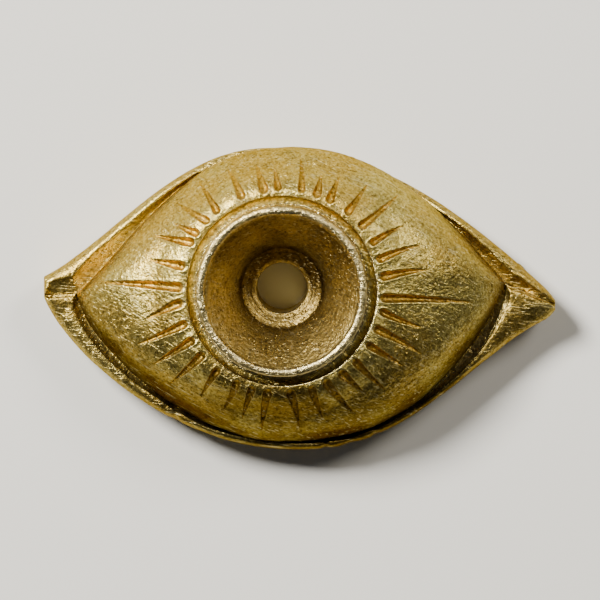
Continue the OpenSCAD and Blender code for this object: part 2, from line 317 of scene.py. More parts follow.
# depth of all lash strokes at x, y: each a teardrop (1 - d^2)^0.8 deep across its tapered width,
# with a low burr round it
def lashField(x, y):
    cut, lip = np.zeros_like(x), np.zeros_like(x)
    rng = np.random.default_rng(7)
    start = coveRadius + dome["lashGap"]
    for angle, length, lean in lashes:
        a, b = math.radians(angle), math.radians(angle + lean)
        width = dome["lashWidth"] * rng.uniform(0.85, 1.12) * (1.12 if length > 8 else 1) / 2
        depth = dome["lashDepth"] * rng.uniform(0.8, 1.1)
        bow = rng.uniform(-0.06, 0.06) * length
        px, py = x - start * math.cos(a), y - start * math.sin(a)
        along = px * math.cos(b) + py * math.sin(b)
        t = np.clip(along / length, 0, 1)
        side = -px * math.sin(b) + py * math.cos(b) - bow * t * (1 - t) * 2
        w = width * (1 - dome["taper"] * t**1.25)
        d = np.hypot(side, along - t * length) / w
        fade = 1 - t**2.2
        cut = np.maximum(cut, depth * fade * np.maximum(0, 1 - d * d) ** 0.8)
        lip = np.maximum(lip, dome["burr"] * fade * np.exp(-(((d - 1.2) / 0.3) ** 2)))
    return cut, lip * (cut == 0)


# rings of the dome from its hollow, under the foot, up the skirt, over the skin and down the cove to
# its hole, every ring a distance from the bore axis as a function of the angle
def buildDome():
    right = math.atan2(domeRight[1], domeRight[0])
    left = math.atan2(domeLeft[1], domeLeft[0]) % (2 * pi)
    half = dome["columns"] // 2
    a = np.concatenate([np.linspace(right, left, half, endpoint=False),
                        np.linspace(left, right + 2 * pi, half, endpoint=False)])
    co, si = np.cos(a), np.sin(a)
    plate, hole = eye["plate"], eye["rimRadius"] - casting["seat"] + casting["fit"]
    ceiling = flatHeight - casting["wall"]
    r, z, cutHere, grow = [], [], [], []

    def ring(radius, height, stroke=0, rough=0):
        r.append(np.broadcast_to(radius, a.shape))
        z.append(np.broadcast_to(height, a.shape))
        cutHere.append(stroke)
        grow.append(rough)

    wall = np.maximum(hole + dome["wallRoom"], reach(a, casting["tuck"] + casting["wall"]))
    for t in np.linspace(1, 0, 6):
        high = mix(wideHeight - 0.6, ceiling, (1 - (1 - t) ** 2.6) ** 0.75)
        ring(mix(wall, hole + dome["roofRoom"], t), high)
    ring(wall, plate)
    for s in np.linspace(0, 1, 6)[:-1]:
        height = mix(plate, wideHeight, s)
        ring(reach(a, skirt(height) + dome["footRound"] * (1 - min(1, s * 6))), height, 0, s)
    outline = reach(a)
    for s in np.linspace(0, 1, dome["skinRows"]) ** 1.7:
        radius = mix(outline, coveRadius, s)
        ring(radius, skinHeight(radius * co, radius * si) if s > 0 else wideHeight, 1, 1)
    for b in np.linspace(0, pi / 2, 10)[1:]:
        ring(coveRadius - coveDepth * (1 - math.cos(b)), flatHeight - coveDepth * math.sin(b), 0, 0.6)
    ring(eye["rimRadius"] + casting["fit"], seatHeight, 0, 0.3)
    ring(hole, seatHeight)
    ring(hole, mix(seatHeight, ceiling, 0.5))
    r, z = np.array(r), np.array(z)
    p = np.stack([r * co, r * si, z], -1)
    cut, lip = lashField(p[..., 0], p[..., 1])
    on, rough = np.array(cutHere)[:, None], np.array(grow)[:, None]
    # the casting is a little uneven, more so away from the rim
    away = ease((r - coveRadius) / 3)
    n = gridNormals(p, True, 1.0 if gridVolume(p, True) > 0 else -1.0)
    bumps = dome["dents"] * uneven(p, 5.5, 3) * mix(0.35, 1, away) + dome["grain"] * uneven(p, 0.9, 4)
    p = p + n * (rough * bumps)[..., None]
    p[..., 2] += on * (lip - cut)
    values = wearAndShade(p, True, [(3, 0.07), (10, 0.24)])
    values["stroke"] = np.clip(on * cut / 0.25, 0, 1)
    # painted shade on the dome's steep lower slopes, darkening where they would mirror the pale floor,
    # joined to the low-side painted shade
    steepShade = ease((0.85 - n[..., 2]) / 0.4) * ease((3 - p[..., 1] / sy) / 8)
    values["dull"] = np.maximum(lowSideShade(p), on * steepShade)
    values["hollow"] = values["hollow"] * (1 - 0.3 * values["stroke"])
    # past the cove the edges of the strokes are rubbed less, and the cove itself gets less of the hollow
    # colour, gilt and painted crevice shade
    past = ease((r - coveRadius) / 0.3)
    values["edge"] = values["edge"] * (1 - 0.5 * past * ease((coveRadius + 12 - r) / 3))
    # painted shade under the dome: its underside and the foot of its skirt, against the plate and the lids,
    # are set as a deep hollow
    under = 0.9 * ((rough < 0.3) & (r.mean(1, keepdims=True) > coveRadius))
    values["hollow"] = np.maximum(values["hollow"] * mix(0.35, 1, past), under)
    return makeSurface("eyeDome", p, True, values, ["eye_dome"])


# of each lid: gap to the dome, depth of the hollow face, the angles on its outline that belong to the
# dome's two corners, and place along the eye, width and depth of each nick in its crest
lid = {
    "upper": {"seam": 0.04, "depth": 0.6, "marks": (4.5, 173.4),
              "nicks": [(-9.0, 0.5, 0.05), (12.5, 0.7, 0.05)]},
    "lower": {"seam": 0.13, "depth": 0.9, "marks": (-9.4, 188.7),
              "nicks": [(-11.2, 0.45, 0.22), (4.6, 0.35, 0.18), (7.2, 0.8, 0.12), (9.9, 0.4, 0.18)]},
    "stations": 520,
    "tipStations": 70,
    "tipSeam": 0.02,  # between the two lids
    "crestRound": 0.16,
    "footRise": 0.35,  # lowest a hollow face comes over the plate
    "crestLow": 0.9,  # height of the crest over the plate where a lid runs out
    "footRound": 0.12,
    "dents": 0.022,
    "grain": 0.008,
}


# distance from the bore axis to the lids' outline set in by d, at angle a, by halving
def lidReach(a, d=0.0):
    low, high = np.full_like(a, 5 * sy), np.full_like(a, 30 * sx)
    left, right = tipLeft[0] + d + 0.1, tipRight[0] - d - 0.2
    for _ in range(30):
        r = (low + high) / 2
        x, y = r * np.cos(a), r * np.sin(a)
        inside = (x > left) & (x < right) & (y < lidTop(x, d)) & (y > lidBottom(x, d))
        low, high = np.where(inside, r, low), np.where(inside, high, r)
    return low


# width in plan of the hollow face inside the crest of the upper and the lower lid
def upperFace(x):
    return 1.05 + 0.55 * ease((-9 - x) / 8) - 0.5 * ease((x - 24.5) / 3)


def lowerFace(x):
    return 0.45 + 0.75 * ease((x - 3) / 12) + 0.4 * ease((-12 - x) / 7)


# sections of a lid, each run straight from a point of the inner line (a tip, the dome's foot, the other
# tip) to one of the outline: foot, outer wall, rounded shoulder, crest, hollow face, inner wall
def buildLid(name, which, cadNode):
    plate, own = eye["plate"], lid[which]
    side = 1 if which == "upper" else -1
    turn = 0 if which == "upper" else 360
    right = math.degrees(math.atan2(domeRight[1], domeRight[0]))
    left = 180 + math.degrees(math.atan2(-domeLeft[1], -domeLeft[0])) - turn
    markRight, markLeft = own["marks"][0], own["marks"][1] - turn
    rightTip = math.degrees(math.atan2(tipRight[1], tipRight[0]))
    leftTip = 180 + math.degrees(math.atan2(-tipLeft[1], -tipLeft[0])) - turn
    u = np.linspace(0, 1, lid["stations"])
    a = mix(right, left, 0.75 * u + 0.25 * (1 - np.cos(pi * u)) / 2)
    outer = (a + (markRight - right) * np.exp(-np.abs(a - right) / 14)
             + (markLeft - left) * np.exp(-np.abs(a - left) / 14))
    v = np.linspace(0, 0.985, lid["tipStations"])[1:]
    fromCorner = np.minimum(np.abs(a - a[0]), np.abs(a - a[-1]))
    rightX = mix(domeRight[0] + own["seam"], tipRight[0] - 0.12, v)[::-1]
    leftX = mix(domeLeft[0] - own["seam"], tipLeft[0] + 0.1, v)
    outer = np.radians(np.concatenate([
        mix(outer[0], rightTip, v)[::-1], outer, mix(outer[-1], leftTip, v)]))
    a = np.radians(a)

    # inner line set in by d under the dome, with its two straight runs along the line between the lids
    def inner(d):
        d = mix(-own["seam"], np.broadcast_to(d, outer.shape)[len(v):-len(v)], ease(fromCorner / 5))
        r = reach(a, d)
        x = np.concatenate([rightX, r * np.cos(a), leftX])
        y = np.concatenate([midLine(rightX), r * np.sin(a), midLine(leftX)])
        y[:len(v)] += side * lid["tipSeam"] / 2
        y[-len(v):] += side * lid["tipSeam"] / 2
        return np.stack([x, y], -1)

    rim = lidReach(outer)[:, None] * np.stack([np.cos(outer), np.sin(outer)], -1)
    edgeOfDome = inner(0)
    x = edgeOfDome[:, 0]
    outside = np.sign(np.linalg.norm(rim, axis=1) - np.linalg.norm(edgeOfDome, axis=1))
    span = np.linalg.norm(rim - edgeOfDome, axis=1) * outside
    inTip = np.concatenate([v[::-1], 0 * a, v])
    # the crest runs down where the dome bulges over the lid
    rise = np.maximum(ease(span / 1.3), (inTip > 0) * (1 - 0.5 * inTip**4))
    crest = mix(plate + lid["crestLow"], eye["lidCrest"], rise)
    if side > 0:
        shallow = ease((27.9 * sx - x) / 3) * mix(1, 0.6, ease((-20 * sx - x) / 3))
        depth = own["depth"] * shallow + 0.03
        width = upperFace(x / sx)
    else:
        near = np.concatenate([0 * v, ease(fromCorner / 3), 0 * v])
        shallow = mix(1, 0.52, ease((x / sx - 7) / 8)) * mix(0.5, 1, ease((x / sx + 15) / 6))
        depth = mix(0.25, own["depth"] * shallow, near)
        width = mix(0.5, lowerFace(x / sx), near)
    floor = np.maximum(plate + lid["footRise"], crest - depth)
    foot, start = inner(skirt(plate) - own["seam"]), inner(skirt(floor) - own["seam"])
    length = np.linalg.norm(rim - start, axis=1)
    way = (rim - start) / length[:, None]
    lead = np.minimum(np.maximum(0, skirt(floor) - own["seam"]), 0.3 * length)  # hidden under the dome
    top = np.minimum(np.maximum(0.6 * length, length - 0.8), width + lead)
    edge = mix(plate, crest, 0.5)
    points, heights, hollow, pale = [], [], [], []

    def add(base, run, height, low=0.0, bright=0.0):
        points.append(base + way * (run + 0 * length)[:, None])
        heights.append(height + 0 * length)
        hollow.append(low + 0 * length)
        pale.append(bright + 0 * length)

    # painted shade: the lid's underside and the foot of its outer wall, against the plate, are set as a
    # hollow
    for t in np.linspace(0, 1, 6):
        add(mix(foot, rim, t), -lid["footRound"] * t, plate, 0.6)
    for t in np.linspace(0, 1, 7):
        add(rim, 0, mix(plate + lid["footRound"], edge, t), 0.5 * (1 - t))
    for b in np.linspace(0, pi / 2, 18)[1:]:
        add(start, mix(length, top, 0.85 * (1 - math.cos(b))), mix(edge, crest, math.sin(b)))
    bend = np.minimum(lid["crestRound"], 0.4 * (crest - floor))
    for b in np.linspace(0, pi / 2, 6)[1:]:
        add(start, top - bend * 0.5 * math.sin(b), crest - bend * (1 - math.cos(b)) * 0.6)
    share = np.clip((crest - floor) / 0.8, 0, 1)
    # towards its ends the hollow face is painted pale on the lower lid, part rub and part painted highlight
    # where it catches light, and stays warm on the upper
    wornAndLit = share * np.maximum(ease((x / sx - 9) / 8), 0.7 * ease((-15 - x / sx) / 4))
    if side > 0:
        wornAndLit, tone = 0.3 * wornAndLit, 0.08 + 0.6 * ease((x / sx - 19) / 4)
    else:
        tone = mix(0.05, 0.3, ease((x / sx + 12) / 6))
    for t in np.linspace(1, 0, 22)[1:]:
        add(start, mix(lead, top - bend * 0.5, t), mix(floor, crest - 0.6 * bend, t**1.6),
            share * (1 - wornAndLit) * tone * min(1, 6 * (1 - t)), wornAndLit * min(1, 5 * t) * 0.9)
    # painted shade in the seam: the inner wall under the dome's overhang is set as a full hollow
    add(start, 0.02, floor, 0.9)
    for t in np.linspace(0, 1, 9)[:-1]:
        add(mix(start, foot, t), 0, mix(floor, plate, t), 1.0)
    plan, z = np.stack(points, 1), np.stack(heights, 1)
    # both tips are rounded down towards the plate
    shrink = (0.5 + 0.5 * np.sqrt(np.maximum(0, 1 - np.clip((inTip - 0.88) / 0.12, 0, 1) ** 2)))[:, None]
    p = np.concatenate([plan, (plate + (z - plate) * shrink)[..., None]], -1)
    n = gridNormals(p, False, 1.0 if gridVolume(p, False) > 0 else -1.0)
    free = ease((z - plate) / 0.5) * (1 - 0.8 * ease((inTip - 0.7) / 0.3))[:, None]
    bumps = lid["dents"] * uneven(p, 3.6, 11 + side) + lid["grain"] * uneven(p, 0.8, 13 + side)
    for at, size, nick in own["nicks"]:
        bumps = bumps - nick * np.exp(-(((p[..., 0] - at * sx) / size) ** 2)) * ease((z - plate) / 1.5)
    p = p + n * (free * bumps)[..., None]
    values = wearAndShade(p, False, [(3, 0.05), (12, 0.25)])
    calm = (1 - 0.85 * ease(inTip / 0.15))[:, None]  # the flat tips are evenly rubbed
    values = {key: value * calm for key, value in values.items()}
    values["hollow"] = np.maximum(np.stack(hollow, 1), 0.2 * values["hollow"])
    values["edge"] = np.maximum(np.stack(pale, 1), 0.7 * values["edge"])
    # painted shade on the lower side, left off where the face is painted pale
    values["dull"] = lowSideShade(p) * (1 - np.minimum(1, 1.5 * np.stack(pale, 1)))
    values["stroke"] = np.zeros_like(values["hollow"])
    return makeSurface(name, p, False, values, [cadNode])


cup = {
    "rimWidth": 0.9,
    "rimLip": 0.35,  # from the top of the rim to the start of the bowl
    "shoulder": 4.3,  # radius of the step at the bottom of the bowl
    "bowlDepth": 5.8,
    "wall": 0.3,  # of the bowl's mouth behind the rim
    "columns": 540,
    "step": 0.11,
    "ridges": 0.004,  # height of the turning marks in the bowl
    "pitch": 0.46,  # from one turning mark to the next
    "dents": 0.03,
    "rimDents": 0.028,
    "rimGrain": 0.014,
}


# half section of rim, bowl, stepped shoulder and bore, with fine turning ridges in the bowl
def buildCup():
    top, rimRadius, bore, shoulder = eye["depth"], eye["rimRadius"], eye["boreRadius"], cup["shoulder"]
    mouth, shoulderZ, lipZ = rimRadius - cup["rimWidth"], top - cup["bowlDepth"], top - cup["rimLip"]
    cupRadius = mouth + cup["wall"]
    # the bowl runs from mouth to shoulder as 0.35 sin(90 t) + 0.65 t inwards and 0.8 t + 0.2 t^2 down
    bowl = [(mix(mouth, shoulder, 0.35 * math.sin(pi / 2 * t) + 0.65 * t),
             mix(lipZ, shoulderZ, 0.8 * t + 0.2 * t * t)) for t in np.linspace(0.04, 1, 30)]
    steps = [(shoulder - 0.14, shoulderZ - 0.3), (shoulder - 0.45, shoulderZ - 0.52),
             (shoulder - 0.66, shoulderZ - 0.62), (shoulder - 0.76, shoulderZ - 0.72),
             (shoulder - 1.05, shoulderZ - 0.88), (shoulder - 1.14, shoulderZ - 0.98),
             (bore + 0.22, shoulderZ - 1.2), (bore + 0.07, shoulderZ - 1.32), (bore, shoulderZ - 1.6)]
    rim = [(rimRadius, seatHeight), (rimRadius, top - 0.42), (rimRadius - 0.04, top - 0.22),
           (rimRadius - 0.14, top - 0.08), (rimRadius - 0.3, top - 0.01), (mouth + 0.4, top),
           (mouth + 0.2, top - 0.05), (mouth + 0.06, top - 0.17), (mouth, lipZ)]
    outside = [(bore, 0.25), (bore + 0.2, 0), (tubeRadius - 0.2, 0), (tubeRadius, 0.2),
               (tubeRadius, shoulderZ - 2.2), (shoulder + 1.1, shoulderZ - 0.6),
               (cupRadius, top - 3.2), (cupRadius, seatHeight)]
    section = np.concatenate([
        fillIn(outside, 0.9)[:-1],
        fillIn([outside[-1]] + rim + bowl + steps, cup["step"]),
        fillIn([steps[-1], outside[0]], 0.35)[1:-1]])
    p = turned(section[:, 0], section[:, 1], cup["columns"])
    r, z = np.hypot(p[..., 0], p[..., 1]), p[..., 2]
    n = gridNormals(p, True, 1.0 if gridVolume(p, True) > 0 else -1.0)
    inBowl = ease((z - shoulderZ + 1.4) / 0.4) * ease((rimRadius - 0.1 - r) / 0.3)
    inner = inBowl * ease((top - 0.25 - z) / 0.4)
    onRim = ease((z - seatHeight - 0.2) / 0.4) * ease((r - mouth + 0.15) / 0.2)
    marks = np.sin(z * 2 * pi / cup["pitch"] + 0.5 * uneven(p, 6, 21)) + 0.6 * uneven(p * [1, 1, 5], 1.6, 22)
    bumps = inner * (cup["ridges"] * marks + cup["dents"] * uneven(p, 4, 23))
    bumps = bumps + onRim * (cup["rimDents"] * uneven(p, 3.2, 24) + cup["rimGrain"] * uneven(p, 0.8, 25))
    p = p + n * bumps[..., None]
    values = wearAndShade(p, True, [(3, 0.05), (8, 0.14)])
    onTop = onRim * ease((r - mouth + 0.05) / 0.1) * ease((rimRadius - 0.2 - r) / 0.1)
    values["edge"] = np.maximum(values["edge"] * mix(1, 0.5, inner), 0.55 * onTop)
    # painted shade on the upper half of the bowl and on the steps round the bore, strongest on their upper
    # side
    funnel, y = inBowl * ease((shoulder + 0.5 - r) / 0.5), p[..., 1]
    values["dull"] = inner * np.maximum(0.8 * ease((y + 1) / 6), funnel * mix(0.5, 0.95, ease((y + 2) / 3)))
    # the steps round the bore are also set as a hollow: painted shade going down into the bore
    values["hollow"] = np.maximum(values["hollow"], 0.55 * funnel)
    values["stroke"] = np.maximum(inner * mix(0.25, 0.55, ease((r - shoulder) / 1.5)), funnel)
    return makeSurface("irisCup", p, True, values, ["iris_cup"])


back = {
    "columns": 720,
    "inset": 0.3,  # of the plate inside the lids' outline
    "edgeRound": 0.25,
    "nutRoom": 0.3,  # round the nut in its recess
    "dents": 0.03,
    "grain": 0.008,
}


# rings of the plate from its hole, over the top, round the edge and along the back to the nut's recess,
# every ring a distance from the bore axis as a function of the angle
def buildPlate():
    a = np.linspace(0, 2 * pi, back["columns"], endpoint=False)
    co, si = np.cos(a), np.sin(a)
    outline, top, bend = lidReach(a, back["inset"]), eye["plate"], back["edgeRound"]
    hole, recess = tubeRadius + casting["fit"], eye["nutRadius"] + back["nutRoom"]
    r, z = [], []

    def ring(radius, height):
        r.append(np.broadcast_to(radius, a.shape))
        z.append(np.full(a.shape, height))

    for t in np.linspace(0, 1, 8):
        ring(mix(hole, outline - bend, t), top)
    for b in np.linspace(0, pi, 14)[1:-1]:
        height = mix(top - bend, bend, 0.5 - 0.5 * math.cos(b)) + bend * math.cos(b)
        ring(outline - bend * (1 - math.sin(b)), height)
    for t in np.linspace(0, 1, 70):
        ring(mix(outline - bend, recess + 0.15, t), 0.0)
    pocket = [(recess, 0.15), (recess, eye["nutHeight"]), (hole, eye["nutHeight"])]
    for radius, height in fillIn(pocket, 0.4)[:-1]:
        ring(radius, height)
    for height in np.linspace(eye["nutHeight"], top, 4)[:-1]:
        ring(hole, height)
    r = np.array(r)
    p = np.stack([r * co, r * si, np.array(z)], -1)
    face = ease((0.6 - p[..., 2]) / 0.4) * ease((r - recess - 0.2) / 0.5) * ease((outline - r) / 1.5)
    dents = back["dents"] * np.maximum(0, 0.6 + uneven(p, 4.5, 31))
    p[..., 2] += face * (0.02 + dents + back["grain"] * uneven(p, 0.8, 32))
    values = wearAndShade(p, True, [(3, 0.04), (10, 0.12)])
    values["stroke"] = np.zeros_like(values["hollow"])
    return makeSurface("backPlate", p, True, values, ["back_plate"])


nut = {
    "columns": 540,
    "pit": 0.7,  # radius of the two spanner pits
    "pitDepth": 0.9,
    "bevel": 0.18,
    "ridges": 0.012,  # height of the turning marks on its back
    "pitch": 0.34,
}


# half section of the nut, with two round pits let into its back face
def buildNut():
    inner, outer, high, bevel = tubeRadius, eye["nutRadius"], eye["nutHeight"], nut["bevel"]
    corners = [(inner, high), (outer - bevel, high), (outer, high - bevel), (outer, bevel),
               (outer - bevel, 0), (inner + 0.1, 0), (inner, 0.1), (inner, high)]
    section = fillIn(corners, 0.09)[:-1]
    p = turned(section[:, 0], section[:, 1], nut["columns"])
    middle = (inner + outer) / 2
    away = np.hypot(np.abs(p[..., 0]) - middle, p[..., 1])
    face = ease((0.3 - p[..., 2]) / 0.2)
    ridge = nut["ridges"] * (1 + np.sin(np.hypot(p[..., 0], p[..., 1]) * 2 * pi / nut["pitch"]))
    p[..., 2] += face * (nut["pitDepth"] * ease((nut["pit"] - away) / 0.12 + 0.5) + ridge)
    values = wearAndShade(p, True, [(3, 0.03), (8, 0.08)])
    values["stroke"] = np.zeros_like(values["hollow"])
    return makeSurface("ringNut", p, True, values, ["ring_nut"])


rivet = {
    "radius": 1.12,
    "proud": 0.1,  # how far the heads stand out of the back
    "shank": 0.5,  # how far they reach into the plate
    "dents": 0.012,
    "spots": [(-22.7, 0.75), (24.5, 1.15), (-22, -3.4), (24.3, -2.8)],
}


# four low domed heads on the back, each a section 1 - b^2.4 proud turned about its axis, with hammer marks
def buildRivets():
    radius, proud = rivet["radius"], rivet["proud"]
    b = np.linspace(0.03, 1, 14) ** 0.8
    section = np.concatenate([np.stack([radius * b, -proud * (1 - b**2.4)], -1),
                              [[radius * 0.8, rivet["shank"]], [radius * 0.03, rivet["shank"]]]])
    shells = []
    for k, (x, y) in enumerate(rivet["spots"]):
        p = turned(section[:, 0], section[:, 1], 64)
        p[..., 2] += rivet["dents"] * uneven(p, 0.9, 41 + k) * (p[..., 2] < rivet["proud"])
        shells.append(p + np.array([x * sx, y * sy, 0]))
    return makeSurface("rivetHeads", np.stack(shells), False)


# node by its type, with values for its inputs and settings for itself
def node(tree, kind, inputs=None, **settings):
    made = tree.nodes.new(kind)
    for key, value in settings.items():
        setattr(made, key, value)
    for key, value in (inputs or {}).items():
        if isinstance(value, bpy.types.NodeSocket):
            tree.links.new(value, made.inputs[key])
        else:
            made.inputs[key].default_value = value
    return made


def maths(tree, operation, a, b=0.0, clamp=False):
    return node(tree, "ShaderNodeMath", {0: a, 1: b}, operation=operation, use_clamp=clamp).outputs[0]


# smooth step of a value between two bounds
def remap(tree, value, low, high, toLow=0.0, toHigh=1.0):
    return node(tree, "ShaderNodeMapRange", {0: value, 1: low, 2: high, 3: toLow, 4: toHigh},
                interpolation_type="SMOOTHSTEP").outputs[0]


# value made uneven by a noise: value + amount (noise - 0.5)
def broken(tree, value, grains, amount):
    return maths(tree, "ADD", value, maths(tree, "MULTIPLY", maths(tree, "SUBTRACT", grains, 0.5), amount))


def blendColours(tree, factor, a, b, kind="MIX"):
    mixer = node(tree, "ShaderNodeMix", data_type="RGBA", blend_type=kind, clamp_factor=True)
    for socket, value in ((mixer.inputs[0], factor), (mixer.inputs[6], a), (mixer.inputs[7], b)):
        if isinstance(value, bpy.types.NodeSocket):
            tree.links.new(value, socket)
        else:
            socket.default_value = value
    return mixer.outputs[2]


def noise(tree, vector, scale, detail=3.0, rough=0.55):
    return node(tree, "ShaderNodeTexNoise", {
        "Vector": vector, "Scale": scale, "Detail": detail, "Roughness": rough}).outputs["Fac"]


# empty shader group with the named sockets, and its two end nodes
def newGroup(name, inputs, outputs):
    group = bpy.data.node_groups.new(name, "ShaderNodeTree")
    for label, kind, value in inputs:
        socket = group.interface.new_socket(label, in_out="INPUT", socket_type="NodeSocket" + kind)
        if value is not None:
            socket.default_value = value
    for label, kind in outputs:
        group.interface.new_socket(label, in_out="OUTPUT", socket_type="NodeSocket" + kind)
    return group, group.nodes.new("NodeGroupInput"), group.nodes.new("NodeGroupOutput")


grainScale = {"grit": 3600, "soft": 1500, "lumps": 420, "pits": 2600, "patches": 900}  # per metre


# cast grain: fine granular relief, open pits and broad lumps, as a height and a mask of the pits
def makeGrain():
    g, start, end = newGroup("castGrain", [
        ("Vector", "Vector", None), ("Fine", "Float", 1.0), ("Pits", "Float", 0.5), ("Lumps", "Float", 0.5)],
        [("Height", "Float"), ("Pit", "Float")])
    v = start.outputs["Vector"]
    grit = noise(g, v, grainScale["grit"], 3, 0.65)
    soft = noise(g, v, grainScale["soft"], 3, 0.6)
    lumps = noise(g, v, grainScale["lumps"], 2)
    cells = node(g, "ShaderNodeTexVoronoi", {"Vector": v, "Scale": grainScale["pits"], "Randomness": 1.0})
    sparse = remap(g, noise(g, v, grainScale["patches"], 1), 0.48, 0.66)
    pit = maths(g, "MULTIPLY", remap(g, cells.outputs["Distance"], 0.34, 0.12), sparse)
    pit = maths(g, "MULTIPLY", pit, start.outputs["Pits"], True)
    height = maths(g, "MULTIPLY", grit, start.outputs["Fine"])
    height = maths(g, "ADD", height, maths(g, "MULTIPLY", soft, 1.1))
    height = maths(g, "ADD", height, maths(g, "MULTIPLY", lumps, start.outputs["Lumps"]))
    height = maths(g, "SUBTRACT", height, maths(g, "MULTIPLY", pit, 1.6))
    g.links.new(height, end.inputs["Height"])
    g.links.new(pit, end.inputs["Pit"])
    return g


patinaScale = {"broad": 130, "blots": 620, "specks": 2900, "mottle": 3300}  # per metre
# the mottle tone is the grain's own; the other tone darkens the brass as painted shade
mottleAndShadeTones = {  # colours that the brass is multiplied by
    "mottle": (0.4, 0.34, 0.26, 1),
    "film": (0.13, 0.1, 0.055, 1),
}


# rub, patina and painted shade: faces, hollows, bright edges, dark deposits and painted shade in crevices
# and on the lower side, as a colour and a roughness
def makePatinaAndShade():
    masks = [(label, "Float", 0.0) for label in ("Hollow", "Edge", "Stroke", "Pit", "Dull", "Stain")]
    tones = [(label, "Color", None) for label in ("Face", "Gold", "Pale", "Dark")]
    g, start, end = newGroup("rubAndPatina", [("Vector", "Vector", None)] + masks + tones,
                             [("Colour", "Color"), ("Roughness", "Float")])
    s = start.outputs
    v = s["Vector"]
    broad = noise(g, v, patinaScale["broad"], 3)
    blots = noise(g, v, patinaScale["blots"], 4, 0.62)
    specks = noise(g, v, patinaScale["specks"], 2, 0.6)
    # faces drift between a greenish and a warmer brass
    face = blendColours(g, remap(g, broad, 0.38, 0.62), s["Face"],
                        blendColours(g, 0.5, s["Face"], s["Gold"]))
    gold = blendColours(g, remap(g, specks, 0.35, 0.65), s["Gold"],
                        blendColours(g, 0.45, s["Gold"], s["Dark"]))
    # hollows keep their warm gilt; the deepest hollows and the seams get brown, painted crevice shade with
    # some patina
    sunk = maths(g, "ADD", s["Hollow"], maths(g, "MULTIPLY", s["Stroke"], 0.8), True)
    sunk = remap(g, broken(g, sunk, blots, 0.5), 0.08, 0.55)
    colour = blendColours(g, sunk, face, gold)
    creviceShade = remap(g, broken(g, s["Hollow"], specks, 0.6), 0.45, 1.0)
    colour = blendColours(g, maths(g, "MULTIPLY", creviceShade, 0.75), colour, s["Dark"])
    # brown stains and dark specks over the faces
    stain = maths(g, "MULTIPLY", remap(g, blots, 0.52, 0.7), s["Stain"])
    colour = blendColours(g, maths(g, "MULTIPLY", stain, 0.55), colour, s["Dark"])
    speck = maths(g, "MULTIPLY", remap(g, specks, 0.56, 0.7), s["Stain"])
    colour = blendColours(g, maths(g, "MULTIPLY", speck, 0.8), colour, s["Dark"])
    colour = blendColours(g, maths(g, "MULTIPLY", s["Pit"], 0.85), colour, s["Dark"])
    # edges are rubbed bright
    rub = remap(g, broken(g, s["Edge"], specks, 0.25), 0.25, 0.9)
    colour = blendColours(g, maths(g, "MULTIPLY", rub, 0.7), colour, s["Pale"])
    rough = maths(g, "ADD", 0.26, maths(g, "MULTIPLY", blots, 0.14))
    rough = maths(g, "ADD", rough, maths(g, "MULTIPLY", sunk, 0.06))
    rough = maths(g, "ADD", rough, maths(g, "MULTIPLY", maths(g, "ADD", stain, s["Pit"]), 0.16))
    rough = maths(g, "SUBTRACT", rough, maths(g, "MULTIPLY", rub, 0.1))
    # rough mottle from grain to grain, and a brown film of painted shade where the shade mask is set
    grains = noise(g, v, patinaScale["mottle"], 2, 0.7)
    plain = maths(g, "SUBTRACT", 1.0, maths(g, "MULTIPLY", sunk, 0.75))
    darker = maths(g, "MULTIPLY", plain, remap(g, grains, 0.38, 0.54, 0.6, 0.0))
    colour = blendColours(g, darker, colour, blendColours(g, 1.0, colour, mottleAndShadeTones["mottle"], "MULTIPLY"))
    paler = maths(g, "MULTIPLY", plain, remap(g, grains, 0.56, 0.7, 0.0, 0.4))
    colour = blendColours(g, paler, colour, s["Pale"])
    film = maths(g, "MULTIPLY", s["Dull"], remap(g, broad, 0.3, 0.6, 0.7, 1.0))
    colour = blendColours(g, film, colour, blendColours(g, 1.0, colour, mottleAndShadeTones["film"], "MULTIPLY"))
    g.links.new(colour, end.inputs["Colour"])
    g.links.new(rough, end.inputs["Roughness"])
    return g


scratchScale = (260, 5200, 2600)  # per metre along, across and into the scratches


# fine scratches: noise stretched along one direction, as a mask
def makeScratches():
    g, start, end = newGroup("fineScratches", [("Vector", "Vector", None), ("Turn", "Vector", None)],
                             [("Mask", "Float")])
    swung = node(g, "ShaderNodeVectorRotate", {
        "Vector": start.outputs["Vector"], "Rotation": start.outputs["Turn"]}, rotation_type="EULER_XYZ")
    drawn = node(g, "ShaderNodeMapping", {"Vector": swung.outputs[0], "Scale": scratchScale})
    g.links.new(remap(g, noise(g, drawn.outputs[0], 1.0, 2, 0.5), 0.58, 0.7), end.inputs["Mask"])
    return g


grain, patinaAndShade, scratches = makeGrain(), makePatinaAndShade(), makeScratches()


